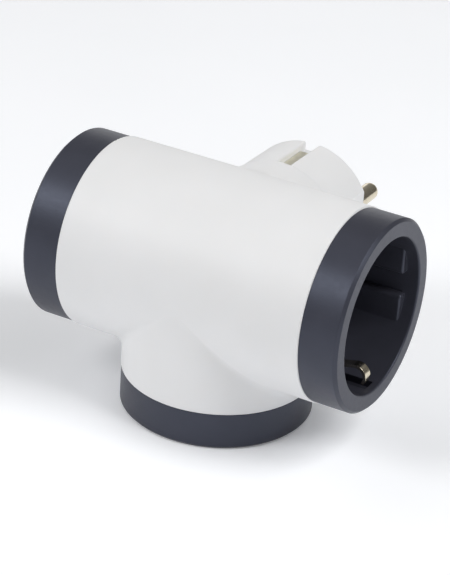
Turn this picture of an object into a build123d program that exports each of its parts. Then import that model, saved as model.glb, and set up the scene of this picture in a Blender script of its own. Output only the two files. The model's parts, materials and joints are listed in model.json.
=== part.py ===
from build123d import *
from math import atan, degrees
import os

os.makedirs("parts", exist_ok=True)

# ---------------------------------------------------------------------------
# Driving dimensions, in millimetres.
# X runs along the level cylinder, +Y out along the plug pins, +Z up.
# The origin is the centre of the rim that the adaptor stands on.
# ---------------------------------------------------------------------------
axis_h = 38.1          # height of the level axis above the lower rim
half_len = 44.2        # crossing of the axes to each side rim
body_r = 25.0          # white level cylinder
stub_r = 24.8          # white stub pointing down
bore_r = 22.8          # inside of both tubes
junction_fillet = 2.5  # stub to level cylinder
end_edge = 0.4         # rounding of the white ends beside the dark rings

ring_r = 24.7          # dark rim ring
side_ring_w = 10.1     # its visible width, at the sides
lower_ring_w = 9.8     # and below
ring_chamfer = 0.75
mouth_edge = 0.5
recess_r = 20.0        # socket recess
recess_depth = 17.5
floor_t = 2.0
skirt_r = 22.65        # the cup inside the tube
cup_depth = recess_depth + floor_t

pin_pitch = 9.5        # pins stand at plus and minus this
pin_hole_r = 2.75
pin_hole_lead = 0.4

rib_flat = 17.3        # flat inner face of the guide ribs
rib_gap = 5.9          # gap between the two ribs of a side
rib_front = 3.5        # rib ends, behind the mouth
rib_edge = 0.6         # rounding of their front edges
rib_corner = 1.0       # and of the corners beside the gap

slot_w = 4.4           # slots for the earth clips
slot_front = 2.0
slot_in = 16.8
slot_out = 21.7

snap_w = 7.0           # snap noses on the cup, and their pockets
snap_from = 15.0
snap_len = 2.2
snap_out = 0.45
snap_play = 0.15

clip_t = 0.8           # earth clip strip
clip_w = 2.6
clip_arch = 2.7        # radius of its arch
clip_curl = 2.65       # and of its curled free end
clip_front = 2.8       # front of the arch, behind the mouth
clip_corner = 14.35
clip_foot = 18.4
clip_turn = 18.65
clip_tip = (19.4, 3.35)

boss_xy = ((9.5, 8.3), (-9.5, -8.3))  # screw bosses behind the floor
boss_r = 2.4
boss_h = 5.0
pilot_r = 0.95

carrier_x = 29.0       # contact carrier block
carrier_y = 11.0
carrier_len = 14.0
pocket = 7.8
pocket_depth = 12.5
ear_t = 2.0
barrier_at = 3.7       # insulating walls on the lower carrier
barrier_t = 1.0
barrier_w = 26.2
barrier_h = 10.5

leaf_t = 0.6           # forked contacts
bridge_at = 12.7       # inside of the contact's bridge wall
tail_w = 4.4
tail_end = 39.0        # tail reaches this far behind the mouth

bus_t = 0.8            # busbars
rivet_r = 1.0

plug_r = 18.35         # plug, where it sits on the collar
plug_tip_r = 18.1      # and at its face
plug_edge = 0.5
plug_seam = 0.15       # bevel of the plug at the crease
plug_face_y = 44.3
crease_y = 27.7        # where the plug sits on the collar
spigot_r = 15.4
spigot_len = 4.0
collar_bore_r = 15.5
collar_taper = 8.5     # flare of the collar, degrees
collar_len = 17.7
plug_bore_r = 14.0
plug_face_t = 4.0
plug_slot_w = 3.7
plug_slot_floor = 15.5
plug_lip = 0.6         # rounding of the slots' outer edges
plug_flat = 15.9
tongue_w = 5.4
flat_len = 14.3

pin_r = 2.4            # plug pins
pin_len = 19.0
pin_tip = 1.9
pin_seat_r = 2.6
pin_flange_r = 3.6
pin_flange_t = 1.2
pin_tail_r = 1.8
pin_tail_end_y = 21.6
retainer_at = 9.0      # screws of the pin retainer
retainer_boss_r = 3.0

strap_t = 0.8
strap_w = 3.4
strap_end_y = 40.9

varistor_r = 7.0
varistor_t = 4.5
varistor_y = -17.8
lead_r = 0.35
lead_x = 3.75
lead_z = 46.5

# ---------------------------------------------------------------------------
# Socket planes: z points out of the mouth, x along the line of the two pins,
# y along the line of the two earth clips.
# ---------------------------------------------------------------------------
right = Plane(origin=(half_len, 0, axis_h), x_dir=(0, 1, 0), z_dir=(1, 0, 0))
left = Plane(origin=(-half_len, 0, axis_h), x_dir=(0, -1, 0), z_dir=(-1, 0, 0))
lower = Plane(origin=(0, 0, 0), x_dir=(0, 1, 0), z_dir=(0, 0, -1))
sockets = {"right": right, "left": left, "lower": lower}

# The plug's plane lies on its face: z along the pins, y up.
plug = Plane(origin=(0, plug_face_y, axis_h), x_dir=(-1, 0, 0), z_dir=(0, 1, 0))


def side_plane(sock, x0):
    """Plane across a socket at x0: its x is the socket's y, its y the socket's z."""
    return Plane(
        origin=sock.origin + sock.x_dir * x0, x_dir=sock.y_dir, z_dir=sock.x_dir
    )


def save(builder, name):
    builder.part.label = name
    export_step(builder.part, "parts/" + name + ".step")


# ---------------------------------------------------------------------------
# Housing: two tubes in a T with a flared collar for the plug.
# ---------------------------------------------------------------------------
body_len = half_len - side_ring_w
level_end = Plane(origin=(-body_len, 0, axis_h), x_dir=(0, 1, 0), z_dir=(1, 0, 0))

with BuildPart() as housing:
    with BuildSketch(level_end):
        Circle(body_r)
    extrude(amount=2 * body_len)
    with BuildSketch(Plane.XY.offset(lower_ring_w)):
        Circle(stub_r)
    extrude(amount=axis_h - lower_ring_w)
    crossing = [
        e
        for e in housing.edges()
        if e.geom_type not in (GeomType.CIRCLE, GeomType.LINE)
    ]
    fillet(crossing, radius=junction_fillet)
    # flared collar
    with BuildSketch(plug.offset(crease_y - plug_face_y)):
        Circle(plug_r + 0.05)
    extrude(amount=-collar_len, taper=-collar_taper)
    # rounded ends beside the rings
    rims = [
        e
        for e in housing.edges().filter_by(GeomType.CIRCLE)
        if abs(abs(e.center().X) - body_len) < 1e-3
        or abs(e.center().Z - lower_ring_w) < 1e-3
    ]
    fillet(rims, radius=end_edge)
    # tube bores
    with BuildSketch(level_end):
        Circle(bore_r)
    extrude(amount=2 * body_len, mode=Mode.SUBTRACT)
    with BuildSketch(Plane.XY.offset(lower_ring_w)):
        Circle(bore_r)
    extrude(amount=axis_h - lower_ring_w, mode=Mode.SUBTRACT)
    # bore of the collar
    with BuildSketch(plug.offset(crease_y - plug_face_y)):
        Circle(collar_bore_r)
    extrude(amount=-collar_len, mode=Mode.SUBTRACT)
    # pockets for the snap noses of the cups
    for sock in sockets.values():
        with BuildSketch(sock.offset(-(snap_from - snap_play))):
            with Locations((bore_r, 0), (-bore_r, 0)):
                Rectangle(2 * (snap_out + snap_play), snap_w + 2 * snap_play)
        extrude(amount=-(snap_len + 2 * snap_play), mode=Mode.SUBTRACT)
    # pockets for the snap noses of the plug
    with BuildSketch(plug.offset(crease_y - 1.5 - plug_face_y)):
        with Locations((collar_bore_r, 0), (-collar_bore_r, 0)):
            Rectangle(1.2, 5.0)
    extrude(amount=-1.8, mode=Mode.SUBTRACT)
save(housing, "housing")


# ---------------------------------------------------------------------------
# Pieces that each socket holds.
# ---------------------------------------------------------------------------
def socket_insert(sock, name, ring_w):
    with BuildPart() as insert:
        with BuildSketch(sock):
            Circle(ring_r)
        extrude(amount=-ring_w)
        out = Axis(sock.origin, sock.z_dir)
        chamfer(
            insert.edges().filter_by(GeomType.CIRCLE).sort_by(out)[-1],
            length=ring_chamfer,
        )
        with BuildSketch(sock.offset(-ring_w)):
            Circle(skirt_r)
        extrude(amount=-(cup_depth - ring_w))
        # snap noses
        with BuildSketch(sock.offset(-snap_from)):
            with Locations((skirt_r, 0), (-skirt_r, 0)):
                Rectangle(2 * snap_out, snap_w)
        extrude(amount=-snap_len)
        # recess
        with BuildSketch(sock):
            Circle(recess_r)
        extrude(amount=-recess_depth, mode=Mode.SUBTRACT)
        mouth = [
            e
            for e in insert.edges().filter_by(GeomType.CIRCLE)
            if abs(e.radius - recess_r) < 1e-6
        ]
        fillet(ShapeList(mouth).sort_by(out)[-1], radius=mouth_edge)
        # guide ribs, two on each side
        with BuildSketch(sock.offset(-rib_front)):
            Circle(recess_r + 0.5)
            Rectangle(2 * rib_flat, 60, mode=Mode.SUBTRACT)
            Rectangle(60, rib_gap, mode=Mode.SUBTRACT)
        extrude(amount=-(recess_depth - rib_front))
        # rounded edges of the ribs: the corners beside the gap, then the fronts
        corners = []
        for e in insert.edges().filter_by(GeomType.LINE):
            at = sock.to_local_coords(e.center())
            on_flat = abs(abs(at.X) - rib_flat) < 1e-4
            if on_flat and abs(abs(at.Y) - rib_gap / 2) < 1e-4:
                corners.append(e)
        fillet(corners, radius=rib_corner)
        fronts = []
        for e in insert.edges():
            at = sock.to_local_coords(e.center())
            if abs(at.Z + rib_front) > 1e-4 or e.length > 12:
                continue
            if e.geom_type == GeomType.LINE or abs(e.radius - rib_corner) < 1e-4:
                fronts.append(e)
        fillet(fronts, radius=rib_edge)
        # slots for the earth clips, through the floor
        with BuildSketch(sock.offset(-slot_front)):
            mid = (slot_in + slot_out) / 2
            with Locations((0, mid), (0, -mid)):
                Rectangle(slot_w, slot_out - slot_in)
        extrude(amount=-(cup_depth - slot_front), mode=Mode.SUBTRACT)
        # pin holes with a lead-in
        with BuildSketch(sock.offset(-recess_depth)):
            with Locations((pin_pitch, 0), (-pin_pitch, 0)):
                Circle(pin_hole_r)
        extrude(amount=-floor_t, mode=Mode.SUBTRACT)
        with BuildSketch(sock.offset(-recess_depth)):
            with Locations((pin_pitch, 0), (-pin_pitch, 0)):
                Circle(pin_hole_r + pin_hole_lead)
        extrude(amount=-pin_hole_lead, taper=45, mode=Mode.SUBTRACT)
        # screw bosses behind the floor
        with BuildSketch(sock.offset(-cup_depth)):
            with Locations(*boss_xy):
                Circle(boss_r)
        extrude(amount=-boss_h)
        with BuildSketch(sock.offset(-cup_depth - boss_h)):
            with Locations(*boss_xy):
                Circle(pilot_r)
        extrude(amount=boss_h - 0.3, mode=Mode.SUBTRACT)
    save(insert, name)


def earth_clip(sock, name):
    back = -(cup_depth + clip_t / 2)
    with BuildPart() as clip:
        with BuildSketch(side_plane(sock, -clip_w / 2)):
            with BuildLine():
                FilletPolyline(
                    (-clip_tip[0], -clip_tip[1]),
                    (-clip_turn, -clip_front),
                    (-clip_corner, -clip_front),
                    (-clip_foot, back),
                    (clip_foot, back),
                    (clip_corner, -clip_front),
                    (clip_turn, -clip_front),
                    (clip_tip[0], -clip_tip[1]),
                    radius=[clip_curl, clip_arch, 1.2, 1.2, clip_arch, clip_curl],
                )
            trace(line_width=clip_t)
        extrude(amount=clip_w)
    save(clip, name)


def contact_carrier(sock, name, barriers):
    with BuildPart() as carrier:
        with BuildSketch(sock.offset(-cup_depth)):
            RectangleRounded(carrier_x, carrier_y, 1.2)
        extrude(amount=-carrier_len)
        # ears that the screws clamp
        with BuildSketch(sock.offset(-cup_depth - boss_h)):
            with Locations(*boss_xy):
                Circle(2.9)
            for bx, by in boss_xy:
                with Locations((bx, by * 0.75)):
                    Rectangle(5.8, abs(by) * 0.5)
        extrude(amount=-ear_t)
        with BuildSketch(sock.offset(-cup_depth - boss_h)):
            with Locations(*boss_xy):
                Circle(1.2)
        extrude(amount=-ear_t, mode=Mode.SUBTRACT)
        # pockets of the contacts
        with BuildSketch(sock.offset(-cup_depth)):
            with Locations((pin_pitch, 0), (-pin_pitch, 0)):
                Rectangle(pocket, pocket)
        extrude(amount=-pocket_depth, mode=Mode.SUBTRACT)
        # ways out for the pins and the tails
        with BuildSketch(sock.offset(-cup_depth - pocket_depth)):
            with Locations((pin_pitch, 0), (-pin_pitch, 0)):
                Circle(3.2)
            tail_mid = bridge_at + leaf_t / 2
            with Locations((tail_mid, 0), (-tail_mid, 0)):
                Rectangle(leaf_t + 0.2, tail_w + 0.3)
        extrude(amount=-(carrier_len - pocket_depth), mode=Mode.SUBTRACT)
        # groove over the earth clip
        with BuildSketch(sock.offset(-cup_depth)):
            Rectangle(clip_w + 0.4, carrier_y)
        extrude(amount=-clip_t, mode=Mode.SUBTRACT)
        # room for the bosses
        with BuildSketch(sock.offset(-cup_depth)):
            with Locations(*boss_xy):
                Circle(boss_r + 0.2)
        extrude(amount=-boss_h, mode=Mode.SUBTRACT)
        # insulating walls that keep the pins of the two side sockets apart
        if barriers:
            with BuildSketch(sock.offset(-cup_depth - carrier_len)):
                with Locations((0, barrier_at), (0, -barrier_at)):
                    Rectangle(barrier_w, barrier_t)
            extrude(amount=-barrier_h)
    save(carrier, name)


def fork_contact(sock, side, name):
    """A forked strip round one pin: two sprung leaves, a bridge wall and a tail."""
    rear = -(cup_depth + pocket_depth)
    x_out = bridge_at + leaf_t
    leaf_w = 6.2
    start = x_out - leaf_w if side > 0 else -x_out
    wall = bridge_at if side > 0 else -x_out
    with BuildPart() as contact:
        with BuildSketch(side_plane(sock, start)):
            for s in (1, -1):
                with BuildLine():
                    Polyline(
                        (s * 3.2, rear),
                        (s * 3.2, -27.0),
                        (s * 2.95, -23.6),
                        (s * 3.55, -20.4),
                        (s * 2.95, -20.3),
                        (s * 2.35, -23.5),
                        (s * 2.6, -27.0),
                        (s * 2.6, rear),
                        close=True,
                    )
                make_face()
        extrude(amount=leaf_w)
        with BuildSketch(side_plane(sock, wall)):
            with Locations((0, (rear - 26.0) / 2)):
                Rectangle(6.4, -26.0 - rear)
            with Locations((0, (rear - tail_end) / 2)):
                Rectangle(tail_w, tail_end + rear + 0.02)
            with Locations((0, -(tail_end - 2.2))):
                Circle(rivet_r + 0.05, mode=Mode.SUBTRACT)
        extrude(amount=leaf_t)
    save(contact, name)


for place, sock in sockets.items():
    socket_insert(
        sock,
        place + "_socket_insert",
        lower_ring_w if place == "lower" else side_ring_w,
    )
    earth_clip(sock, place + "_earth_clip")
    contact_carrier(sock, place + "_contact_carrier", place == "lower")
    # live side towards the front (-Y), neutral side towards the plug (+Y)
    live_side = -1 if sock.x_dir.Y > 0 else 1
    fork_contact(sock, live_side, place + "_live_contact")
    fork_contact(sock, -live_side, place + "_neutral_contact")

# ---------------------------------------------------------------------------
# Screws of the carriers: one pair to each socket.
# ---------------------------------------------------------------------------
with BuildPart() as carrier_screws:
    for sock in sockets.values():
        seat = sock.offset(-cup_depth - boss_h - ear_t)
        with BuildSketch(seat):
            with Locations(*boss_xy):
                Circle(2.1)
        extrude(amount=-1.4)
        with BuildSketch(seat):
            with Locations(*boss_xy):
                Circle(pilot_r - 0.05)
        extrude(amount=ear_t + boss_h - 0.8)
        with BuildSketch(seat.offset(-1.4)):
            with Locations(*boss_xy):
                Rectangle(2.4, 0.5)
                Rectangle(0.5, 2.4)
        extrude(amount=0.7, mode=Mode.SUBTRACT)
save(carrier_screws, "carrier_screws")

# ---------------------------------------------------------------------------
# Plug: body, pins, retainer with its screws, earth strap.
# ---------------------------------------------------------------------------
plug_len = plug_face_y - crease_y
with BuildPart() as plug_insert:
    with BuildSketch(plug):
        Circle(plug_tip_r)
    extrude(amount=-plug_len, taper=-degrees(atan((plug_r - plug_tip_r) / plug_len)))
    # slots for the earth strap, with rounded lips
    with BuildSketch(plug):
        for s in (1, -1):
            with Locations((0, s * (plug_slot_floor + 2))):
                Rectangle(plug_slot_w, 4)
    extrude(amount=-plug_len, mode=Mode.SUBTRACT)
    lips = []
    for e in plug_insert.edges():
        at = e.center()
        along = e.length > plug_len - 0.1 and e.length < plug_len + 0.1
        if along and abs(at.Z - axis_h) > plug_slot_floor + 1:
            lips.append(e)
    fillet(lips, radius=plug_lip)
    rim = [
        e
        for e in plug_insert.edges()
        if abs(e.center().Y - plug_face_y) < 1e-4
        and e.geom_type == GeomType.CIRCLE
        and e.length > 20
    ]
    fillet(rim, radius=plug_edge)
    seam = [
        e
        for e in plug_insert.edges()
        if abs(e.center().Y - crease_y) < 1e-4
        and e.geom_type == GeomType.CIRCLE
        and e.length > 20
    ]
    chamfer(seam, length=plug_seam)
    with BuildSketch(plug.offset(-plug_len)):
        Circle(spigot_r)
    extrude(amount=-spigot_len)
    # snap noses on the spigot
    with BuildSketch(plug.offset(-plug_len - 1.6)):
        with Locations((spigot_r, 0), (-spigot_r, 0)):
            Rectangle(0.9, 4.6)
    extrude(amount=-1.5)
    # hollow behind the face
    with BuildSketch(plug.offset(-plug_face_t)):
        Circle(plug_bore_r)
    extrude(amount=-(plug_len + spigot_len - plug_face_t), mode=Mode.SUBTRACT)
    # bosses for the retainer's screws
    with BuildSketch(plug.offset(-plug_face_t)):
        with Locations((0, retainer_at), (0, -retainer_at)):
            Circle(retainer_boss_r)
    extrude(amount=-pin_flange_t)
    with BuildSketch(plug.offset(-plug_face_t - pin_flange_t)):
        with Locations((0, retainer_at), (0, -retainer_at)):
            Circle(pilot_r)
    extrude(amount=3.6, mode=Mode.SUBTRACT)
    # seats of the pins
    with BuildSketch(plug):
        with Locations((pin_pitch, 0), (-pin_pitch, 0)):
            Circle(pin_seat_r + 0.05)
    extrude(amount=-plug_face_t, mode=Mode.SUBTRACT)
    # ways in for the strap's cross piece
    with BuildSketch(plug.offset(-(plug_len - strap_t - 0.5))):
        Rectangle(plug_slot_w, 50)
    extrude(amount=-(spigot_len + strap_t + 0.5), mode=Mode.SUBTRACT)
    # flats with a tongue at each side, for a socket's guide ribs
    with BuildSketch(plug):
        for sx in (1, -1):
            for sy in (1, -1):
                with Locations((sx * (plug_flat + 2), sy * (tongue_w / 2 + 6))):
                    Rectangle(4, 12)
    extrude(amount=-flat_len, mode=Mode.SUBTRACT)
save(plug_insert, "plug_insert")

for name, x in (("live_pin", -pin_pitch), ("neutral_pin", pin_pitch)):
    at = Plane(origin=(x, plug_face_y, axis_h), x_dir=(-1, 0, 0), z_dir=(0, 1, 0))
    with BuildPart() as pin:
        with BuildSketch(at):
            Circle(pin_r)
        extrude(amount=pin_len)
        fillet(
            pin.edges().filter_by(GeomType.CIRCLE).sort_by(Axis.Y)[-1], radius=pin_tip
        )
        with BuildSketch(at):
            Circle(pin_seat_r)
        extrude(amount=-plug_face_t)
        with BuildSketch(at.offset(-plug_face_t)):
            Circle(pin_flange_r)
        extrude(amount=-pin_flange_t)
        with BuildSketch(at.offset(-plug_face_t - pin_flange_t)):
            Circle(pin_tail_r)
        extrude(amount=-(plug_face_y - plug_face_t - pin_flange_t - pin_tail_end_y))
    save(pin, name)

retainer_front = plug_face_t + pin_flange_t
retainer_t = 2.5
with BuildPart() as pin_retainer:
    with BuildSketch(plug.offset(-retainer_front)):
        Circle(plug_bore_r - 0.2)
        with Locations((pin_pitch, 0), (-pin_pitch, 0)):
            Circle(pin_tail_r + 0.1, mode=Mode.SUBTRACT)
        with Locations((0, retainer_at), (0, -retainer_at)):
            Circle(1.2, mode=Mode.SUBTRACT)
    extrude(amount=-retainer_t)
    # post that holds the earth strap against the collar
    with BuildSketch(plug.offset(-retainer_front - retainer_t)):
        Rectangle(strap_w, 9)
    extrude(amount=-(plug_len - retainer_front - retainer_t - strap_t))
save(pin_retainer, "pin_retainer")

with BuildPart() as retainer_screws:
    seat = plug.offset(-retainer_front - retainer_t)
    with BuildSketch(seat):
        with Locations((0, retainer_at), (0, -retainer_at)):
            Circle(2.1)
    extrude(amount=-1.4)
    with BuildSketch(seat):
        with Locations((0, retainer_at), (0, -retainer_at)):
            Circle(pilot_r - 0.05)
    extrude(amount=retainer_t + 3.2)
    with BuildSketch(seat.offset(-1.4)):
        with Locations((0, retainer_at), (0, -retainer_at)):
            Rectangle(2.4, 0.5)
            Rectangle(0.5, 2.4)
    extrude(amount=0.7, mode=Mode.SUBTRACT)
save(retainer_screws, "retainer_screws")

# The strap lies in the plug's two slots; its cross piece rests on the collar.
strap_plane = Plane(
    origin=(-strap_w / 2, 0, axis_h), x_dir=(0, 1, 0), z_dir=(1, 0, 0)
)
strap_leg = plug_slot_floor + strap_t / 2
with BuildPart() as plug_earth_strap:
    with BuildSketch(strap_plane):
        with BuildLine():
            FilletPolyline(
                (strap_end_y, strap_leg),
                (crease_y + strap_t / 2, strap_leg),
                (crease_y + strap_t / 2, -strap_leg),
                (strap_end_y, -strap_leg),
                radius=0.8,
            )
        trace(line_width=strap_t)
    extrude(amount=strap_w)
save(plug_earth_strap, "plug_earth_strap")

# ---------------------------------------------------------------------------
# Busbars. The live one lies in front of the contact tails and crosses over
# to the plug, the neutral one lies behind them.
# ---------------------------------------------------------------------------
bus_in = bridge_at + leaf_t          # 13.3: face that the tails lie on
rivet_side_x = half_len - (tail_end - 2.2)
rivet_low_z = tail_end - 2.2
strip_top = 48.0
drop_y = 22.2

for name, s in (("live_busbar", -1), ("neutral_busbar", 1)):
    # s is the sign of the plate's place along Y; the riser stands on the pin's side
    sx = s
    front = min(s * bus_in, s * (bus_in + bus_t))
    plate = Plane(origin=(0, front, 0), x_dir=(1, 0, 0), z_dir=(0, -1, 0))
    with BuildPart() as bus:
        with BuildSketch(plate):
            with Locations((0, 38.25)):
                Rectangle(20.0, 7.5)
            with Locations((sx * 5.75, (41.0 + strip_top) / 2)):
                Rectangle(6.5, strip_top - 41.0)
            with Locations(
                (rivet_side_x, axis_h), (-rivet_side_x, axis_h), (0, rivet_low_z)
            ):
                Circle(rivet_r + 0.05, mode=Mode.SUBTRACT)
        extrude(amount=-bus_t)
        # strip over to the plug
        y0 = front
        y1 = drop_y + bus_t
        with BuildSketch(Plane.XY.offset(strip_top - bus_t)):
            with Locations((sx * 7.0, (y0 + y1) / 2)):
                Rectangle(4.0, y1 - y0)
        extrude(amount=bus_t)
        # drop to the tail of the pin
        with BuildSketch(
            Plane(origin=(0, drop_y, 0), x_dir=(1, 0, 0), z_dir=(0, -1, 0))
        ):
            with Locations((sx * 7.0, (40.0 + strip_top) / 2)):
                Rectangle(4.0, strip_top - 40.0)
            with Locations((sx * 8.75, axis_h)):
                Rectangle(7.0, 6.0)
            with Locations((sx * pin_pitch, axis_h)):
                Circle(pin_tail_r, mode=Mode.SUBTRACT)
        extrude(amount=-bus_t)
    save(bus, name)

with BuildPart() as busbar_rivets:
    spots = ((rivet_side_x, axis_h), (-rivet_side_x, axis_h), (0, rivet_low_z))
    for s in (-1, 1):
        inner = s * bridge_at
        outer = s * (bus_in + bus_t)
        for y, depth, r in (
            (inner, bus_in + bus_t - bridge_at, rivet_r),
            (inner, -0.5, 1.8),
            (outer, 0.5, 1.8),
        ):
            with BuildSketch(
                Plane(origin=(0, y, 0), x_dir=(1, 0, 0), z_dir=(0, -1, 0))
            ):
                with Locations(*spots):
                    Circle(r)
            extrude(amount=-s * depth)
save(busbar_rivets, "busbar_rivets")

earth_z = axis_h + 12.6
clip_back_x = half_len - cup_depth - clip_t
with BuildPart() as earth_busbar:
    with BuildSketch(Plane.XY.offset(earth_z)):
        Rectangle(2 * clip_back_x, 5.0)
        with Locations((0, crease_y / 2)):
            Rectangle(5.0, crease_y)
    extrude(amount=bus_t)
    # tabs on the two side clips
    for s in (1, -1):
        with BuildSketch(
            Plane(origin=(s * clip_back_x, 0, 0), x_dir=(0, s, 0), z_dir=(s, 0, 0))
        ):
            with Locations((0, earth_z - 2.5)):
                Rectangle(4.0, 6.0)
        extrude(amount=-bus_t)
    # tab on the strap of the plug
    with BuildSketch(
        Plane(origin=(0, crease_y - bus_t, 0), x_dir=(1, 0, 0), z_dir=(0, -1, 0))
    ):
        with Locations((0, earth_z - 2.5)):
            Rectangle(4.0, 6.0)
    extrude(amount=-bus_t)
save(earth_busbar, "earth_busbar")

with BuildPart() as earth_link:
    low = cup_depth + clip_t
    with BuildSketch(Plane.XY.offset(low)):
        with Locations(((15.5 + clip_back_x) / 2, 0)):
            Rectangle(clip_back_x - 15.5, 4.0)
    extrude(amount=bus_t)
    with BuildSketch(
        Plane(origin=(clip_back_x, 0, 0), x_dir=(0, 1, 0), z_dir=(1, 0, 0))
    ):
        with Locations((0, low + 4.0)):
            Rectangle(4.0, 8.0)
    extrude(amount=-bus_t)
save(earth_link, "earth_link")

# ---------------------------------------------------------------------------
# Surge element: disc varistor and the thermal fuse in series with it.
# ---------------------------------------------------------------------------
with BuildPart() as varistor:
    with BuildSketch(
        Plane(
            origin=(0, varistor_y - varistor_t / 2, axis_h),
            x_dir=(-1, 0, 0),
            z_dir=(0, 1, 0),
        )
    ):
        Circle(varistor_r)
    extrude(amount=varistor_t)
    fillet(varistor.edges().filter_by(GeomType.CIRCLE), radius=1.2)
    for x, end in ((-lead_x, -(bus_in + bus_t)), (lead_x, -14.6)):
        with BuildLine() as route:
            FilletPolyline(
                (x, varistor_y, axis_h + 5.0),
                (x, varistor_y, lead_z),
                (x, end, lead_z),
                radius=1.2,
            )
        with BuildSketch(Plane(origin=(x, varistor_y, axis_h + 5.0), z_dir=(0, 0, 1))):
            Circle(lead_r)
        sweep(path=route.line)
save(varistor, "varistor")

with BuildPart() as thermal_fuse:
    along = Plane(origin=(lead_x, -14.6, lead_z), x_dir=(-1, 0, 0), z_dir=(0, 1, 0))
    with BuildSketch(along):
        Circle(lead_r)
    extrude(amount=14.6 + bus_in)
    with BuildSketch(along.offset(2.6)):
        Circle(2.0)
    extrude(amount=9.0)
    fillet(
        [
            e
            for e in thermal_fuse.edges().filter_by(GeomType.CIRCLE)
            if abs(e.radius - 2.0) < 1e-6
        ],
        radius=0.4,
    )
save(thermal_fuse, "thermal_fuse")
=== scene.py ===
import bpy, json, math
from mathutils import Matrix, Vector

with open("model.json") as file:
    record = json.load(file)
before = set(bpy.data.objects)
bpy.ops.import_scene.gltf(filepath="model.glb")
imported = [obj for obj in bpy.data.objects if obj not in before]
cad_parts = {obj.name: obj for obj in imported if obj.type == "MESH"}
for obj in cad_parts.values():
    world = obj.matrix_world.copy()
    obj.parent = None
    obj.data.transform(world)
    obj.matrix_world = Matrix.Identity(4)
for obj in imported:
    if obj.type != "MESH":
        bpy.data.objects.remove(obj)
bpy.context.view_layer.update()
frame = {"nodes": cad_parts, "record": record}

nodes = frame["nodes"]


# ---------------------------------------------------------------------------
# Small helpers for node materials. Texture space is the row frame, in metres.
# ---------------------------------------------------------------------------
class Mat:
    def __init__(self, name):
        self.m = bpy.data.materials.new(name)
        self.m.use_nodes = True
        self.t = self.m.node_tree
        self.t.nodes.clear()
        self.out = self.t.nodes.new("ShaderNodeOutputMaterial")
        self.b = self.t.nodes.new("ShaderNodeBsdfPrincipled")
        self.link(self.b.outputs["BSDF"], self.out.inputs["Surface"])
        self.co = self.t.nodes.new("ShaderNodeTexCoord").outputs["Object"]

    def link(self, a, b):
        self.t.links.new(a, b)

    def set(self, **kw):
        for k, v in kw.items():
            self.b.inputs[k.replace("_", " ")].default_value = v

    def mapped(self, scale):
        n = self.t.nodes.new("ShaderNodeMapping")
        n.inputs["Scale"].default_value = scale
        self.link(self.co, n.inputs["Vector"])
        return n.outputs["Vector"]

    def noise(self, scale, detail=3.0, rough=0.5, vector=None):
        n = self.t.nodes.new("ShaderNodeTexNoise")
        n.inputs["Scale"].default_value = scale
        n.inputs["Detail"].default_value = detail
        n.inputs["Roughness"].default_value = rough
        self.link(vector or self.co, n.inputs["Vector"])
        return n.outputs["Fac"]

    def voronoi(self, scale):
        n = self.t.nodes.new("ShaderNodeTexVoronoi")
        n.inputs["Scale"].default_value = scale
        self.link(self.co, n.inputs["Vector"])
        return n.outputs["Distance"]

    def ramp(self, fac, stops):
        n = self.t.nodes.new("ShaderNodeValToRGB")
        e = n.color_ramp.elements
        e[0].position, e[0].color = stops[0][0], (*stops[0][1], 1)
        e[1].position, e[1].color = stops[-1][0], (*stops[-1][1], 1)
        for p, c in stops[1:-1]:
            x = e.new(p)
            x.color = (*c, 1)
        self.link(fac, n.inputs["Fac"])
        return n.outputs["Color"]

    def spread(self, fac, lo, hi, f0=0.25, f1=0.75):
        n = self.t.nodes.new("ShaderNodeMapRange")
        n.inputs["From Min"].default_value = f0
        n.inputs["From Max"].default_value = f1
        n.inputs["To Min"].default_value = lo
        n.inputs["To Max"].default_value = hi
        self.link(fac, n.inputs["Value"])
        return n.outputs["Result"]

    def add(self, a, b, wa=1.0, wb=1.0):
        n = self.t.nodes.new("ShaderNodeMath")
        n.operation = "MULTIPLY_ADD"
        n.inputs[1].default_value = wa
        self.link(a, n.inputs[0])
        k = self.t.nodes.new("ShaderNodeMath")
        k.operation = "MULTIPLY"
        k.inputs[1].default_value = wb
        self.link(b, k.inputs[0])
        self.link(k.outputs[0], n.inputs[2])
        return n.outputs[0]

    def bump(self, height, strength, distance, edge=0.0):
        n = self.t.nodes.new("ShaderNodeBump")
        if edge:
            r = self.t.nodes.new("ShaderNodeBevel")
            r.samples = 6
            r.inputs["Radius"].default_value = edge
            self.link(r.outputs["Normal"], n.inputs["Normal"])
        n.inputs["Strength"].default_value = strength
        n.inputs["Distance"].default_value = distance
        self.link(height, n.inputs["Height"])
        self.link(n.outputs["Normal"], self.b.inputs["Normal"])


def white_plastic():
    m = Mat("white_plastic")
    tone = m.noise(38.0, 2.0, 0.5)
    m.link(
        m.ramp(tone, [(0.3, (0.802, 0.802, 0.803)), (0.7, (0.837, 0.837, 0.842))]),
        m.b.inputs["Base Color"],
    )
    rough = m.noise(420.0, 4.0, 0.6)
    m.link(m.spread(rough, 0.46, 0.56), m.b.inputs["Roughness"])
    fine = m.noise(5200.0, 3.0, 0.6)
    broad = m.noise(60.0, 1.0, 0.4)
    m.bump(m.add(fine, broad, 0.25, 1.0), 0.12, 0.00006)
    m.set(IOR=1.5, Subsurface_Weight=0.22, Subsurface_Scale=0.0016)
    m.b.inputs["Subsurface Radius"].default_value = (1.0, 0.92, 0.85)
    return m.m


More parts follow.
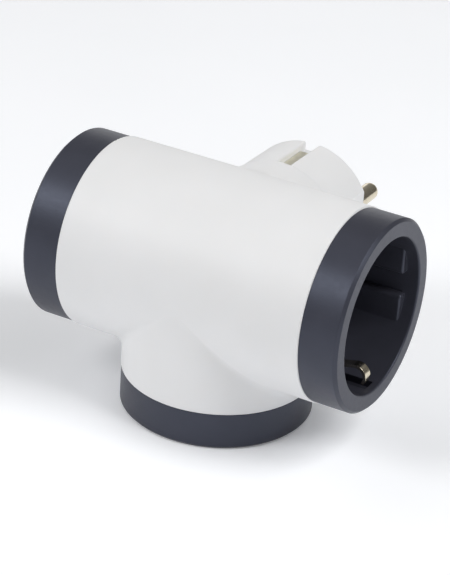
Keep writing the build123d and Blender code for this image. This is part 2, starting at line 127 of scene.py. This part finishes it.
def anthracite_plastic():
    m = Mat("anthracite_plastic")
    tone = m.noise(90.0, 3.0, 0.55)
    m.link(
        m.ramp(tone, [(0.3, (0.0322, 0.0328, 0.0438)), (0.7, (0.0380, 0.0386, 0.0512))]),
        m.b.inputs["Base Color"],
    )
    rough = m.noise(700.0, 3.0, 0.6)
    m.link(m.spread(rough, 0.37, 0.44), m.b.inputs["Roughness"])
    grain = m.voronoi(4200.0)
    fine = m.noise(7000.0, 2.0, 0.5)
    mottle = m.noise(1500.0, 3.0, 0.6)
    m.bump(m.add(m.add(grain, fine, 0.6, 0.6), mottle, 1.0, 1.6), 0.18, 0.00005, 0.0003)
    m.set(IOR=1.5, Specular_IOR_Level=0.54)
    m.b.inputs["Specular Tint"].default_value = (0.70, 0.78, 1.0, 1.0)
    return m.m


def inner_plastic():
    m = Mat("inner_plastic")
    tone = m.noise(140.0, 3.0, 0.5)
    m.link(
        m.ramp(tone, [(0.3, (0.42, 0.41, 0.37)), (0.7, (0.48, 0.47, 0.43))]),
        m.b.inputs["Base Color"],
    )
    rough = m.noise(800.0, 3.0, 0.6)
    m.link(m.spread(rough, 0.48, 0.60), m.b.inputs["Roughness"])
    m.bump(m.noise(4500.0, 2.0, 0.6), 0.15, 0.00006)
    return m.m


def metal(name, dark, light, rough_lo, rough_hi, stretch):
    m = Mat(name)
    streak = m.noise(1.0, 4.0, 0.65, m.mapped(stretch))
    tarnish = m.noise(260.0, 4.0, 0.6)
    m.link(m.ramp(tarnish, [(0.3, dark), (0.7, light)]), m.b.inputs["Base Color"])
    m.link(m.spread(streak, rough_lo, rough_hi), m.b.inputs["Roughness"])
    m.bump(streak, 0.10, 0.00002, 0.00022)
    m.set(Metallic=1.0)
    return m.m


def coated(name, dark, light, rough_lo, rough_hi, grain):
    m = Mat(name)
    m.link(m.ramp(m.noise(500.0, 3.0, 0.55), [(0.3, dark), (0.7, light)]), m.b.inputs["Base Color"])
    m.link(m.spread(m.noise(900.0, 3.0, 0.6), rough_lo, rough_hi), m.b.inputs["Roughness"])
    m.bump(m.noise(grain, 3.0, 0.6), 0.25, 0.00008)
    return m.m


finish = {
    "white_plastic": white_plastic(),
    "anthracite_plastic": anthracite_plastic(),
    "inner_plastic": inner_plastic(),
    "nickel_plated": metal(
        "nickel_plated", (0.66, 0.585, 0.44), (0.77, 0.70, 0.555), 0.14, 0.24, (900, 900, 900)
    ),
    "nickel_strap": metal(
        "nickel_strap", (0.80, 0.77, 0.64), (0.90, 0.87, 0.74), 0.42, 0.54, (2600, 300, 2600)
    ),
    "brass_strip": metal(
        "brass_strip", (0.66, 0.46, 0.20), (0.78, 0.58, 0.28), 0.24, 0.40, (300, 2500, 2500)
    ),
    "screw_steel": metal(
        "screw_steel", (0.48, 0.48, 0.48), (0.60, 0.60, 0.59), 0.25, 0.40, (1800, 1800, 1800)
    ),
    "varistor_coating": coated(
        "varistor_coating", (0.012, 0.05, 0.26), (0.02, 0.08, 0.34), 0.30, 0.45, 900.0
    ),
    "fuse_case": coated(
        "fuse_case", (0.62, 0.60, 0.52), (0.70, 0.68, 0.60), 0.40, 0.55, 1600.0
    ),
}


# ---------------------------------------------------------------------------
# Shading of the CAD meshes: weld the patches, smooth, keep the real edges.
# ---------------------------------------------------------------------------
def edge_group(limit_deg):
    g = bpy.data.node_groups.new("smooth_by_angle", "GeometryNodeTree")
    g.interface.new_socket("Geometry", in_out="INPUT", socket_type="NodeSocketGeometry")
    g.interface.new_socket("Geometry", in_out="OUTPUT", socket_type="NodeSocketGeometry")
    i = g.nodes.new("NodeGroupInput")
    o = g.nodes.new("NodeGroupOutput")
    faces = g.nodes.new("GeometryNodeSetShadeSmooth")
    faces.domain = "FACE"
    faces.inputs["Shade Smooth"].default_value = True
    edges = g.nodes.new("GeometryNodeSetShadeSmooth")
    edges.domain = "EDGE"
    edges.inputs["Shade Smooth"].default_value = False
    angle = g.nodes.new("GeometryNodeInputMeshEdgeAngle")
    over = g.nodes.new("FunctionNodeCompare")
    over.data_type = "FLOAT"
    over.operation = "GREATER_THAN"
    over.inputs[1].default_value = math.radians(limit_deg)
    g.links.new(angle.outputs["Unsigned Angle"], over.inputs[0])
    g.links.new(over.outputs["Result"], edges.inputs["Selection"])
    g.links.new(i.outputs[0], faces.inputs["Geometry"])
    g.links.new(faces.outputs[0], edges.inputs["Geometry"])
    g.links.new(edges.outputs[0], o.inputs[0])
    return g


by_angle = edge_group(28.0)
slots = {s["node"]: s["material_slot"] for s in frame["record"]["subparts"]}
for name, o in nodes.items():
    o.data.materials.clear()
    o.data.materials.append(finish["nickel_strap" if name == "plug_earth_strap" else slots[name]])
    weld = o.modifiers.new("weld", "WELD")
    weld.merge_threshold = 1e-6
    n = o.modifiers.new("smooth", "NODES")
    n.node_group = by_angle
    w = o.modifiers.new("normals", "WEIGHTED_NORMAL")
    w.mode = "FACE_AREA"
    w.weight = 50
    w.keep_sharp = True

# ---------------------------------------------------------------------------
# Floor, light and camera.
# ---------------------------------------------------------------------------
floor_mesh = bpy.data.meshes.new("floor")
s, z = 3.0, -0.00003
floor_mesh.from_pydata(
    [(-s, -s, z), (s, -s, z), (s, s, z), (-s, s, z)], [], [(0, 1, 2, 3)]
)
floor = bpy.data.objects.new("floor", floor_mesh)
bpy.context.scene.collection.objects.link(floor)
fm = Mat("floor_paper")
fm.link(
    fm.ramp(fm.noise(14.0, 3.0, 0.5), [(0.3, (0.918, 0.927, 0.948)), (0.7, (0.938, 0.947, 0.968))]),
    fm.b.inputs["Base Color"],
)
fm.set(Roughness=0.9)
fm.b.inputs["Specular IOR Level"].default_value = 0.1
fm.b.inputs["Emission Color"].default_value = (0.96, 0.975, 1.0, 1)
fm.b.inputs["Emission Strength"].default_value = 0.155
floor_mesh.materials.append(fm.m)

# Sky of the tent: even, a little brighter to the left than to the right.
world = bpy.data.worlds.new("studio")
bpy.context.scene.world = world
world.use_nodes = True
wt = world.node_tree
bg = wt.nodes["Background"]
bg.inputs["Color"].default_value = (1, 1, 1, 1)
sky_level, sky_slope, sky_side = 0.242, 0.13, math.radians(-75)
facing = wt.nodes.new("ShaderNodeVectorMath")
facing.operation = "DOT_PRODUCT"
facing.inputs[1].default_value = (math.sin(sky_side), -math.cos(sky_side), 0.0)
wt.links.new(wt.nodes.new("ShaderNodeTexCoord").outputs["Generated"], facing.inputs[0])
level = wt.nodes.new("ShaderNodeMath")
level.operation = "MULTIPLY_ADD"
level.inputs[1].default_value = sky_slope
level.inputs[2].default_value = sky_level
wt.links.new(facing.outputs["Value"], level.inputs[0])
wt.links.new(level.outputs[0], bg.inputs["Strength"])

mid = Vector((0.0, 0.01, 0.035))


def softbox(name, azimuth, elevation, size, level, high=None, distance=1.1):
    """A soft light panel. Azimuth 0 is in front (-Y), +90 to the right (+X);
    level is its light on a face turned to it, in parts of a white sky."""
    a, e = math.radians(azimuth), math.radians(elevation)
    at = mid + distance * Vector(
        (math.sin(a) * math.cos(e), -math.cos(a) * math.cos(e), math.sin(e))
    )
    d = bpy.data.lights.new(name, "AREA")
    d.shape = "RECTANGLE"
    d.size, d.size_y = size, high or size
    d.energy = level * math.pi**2 * distance**2
    o = bpy.data.objects.new(name, d)
    o.location = at
    o.rotation_euler = (mid - at).to_track_quat("-Z", "Y").to_euler()
    bpy.context.scene.collection.objects.link(o)
    return o


softbox("key", -36, 40, 0.42, 0.325)
softbox("left_high", -90, 60, 0.70, 0.058)
softbox("right", 90, 52, 0.50, 0.545)
softbox("right_back", 128, 55, 0.70, 0.065)
softbox("back_left", -152, 10, 0.90, 0.068, high=0.32)

scene = bpy.context.scene
scene.view_settings.view_transform = "Standard"
scene.view_settings.look = "None"

az, el, roll = 0.487955, 0.483664, 0.066783
back = Vector((math.sin(az) * math.cos(el), -math.cos(az) * math.cos(el), math.sin(el)))
rt = Vector((math.cos(az), math.sin(az), 0.0))
up = Vector((-math.sin(el) * math.sin(az), math.sin(el) * math.cos(az), math.cos(el)))
right = rt * math.cos(roll) + up * math.sin(roll)
upward = up * math.cos(roll) - rt * math.sin(roll)
cam = bpy.data.cameras.new("camera")
cam.sensor_width = 36.0
cam.sensor_fit = "AUTO"
cam.lens = 2390.24 * 36.0 / 575.0
cam.clip_start, cam.clip_end = 0.01, 20.0
camera = bpy.data.objects.new("camera", cam)
m = Matrix((right, upward, back)).transposed().to_4x4()
m.translation = Vector((0.24884, -0.46795, 0.27265 + 0.0381))
camera.matrix_world = m
scene.collection.objects.link(camera)
scene.camera = camera
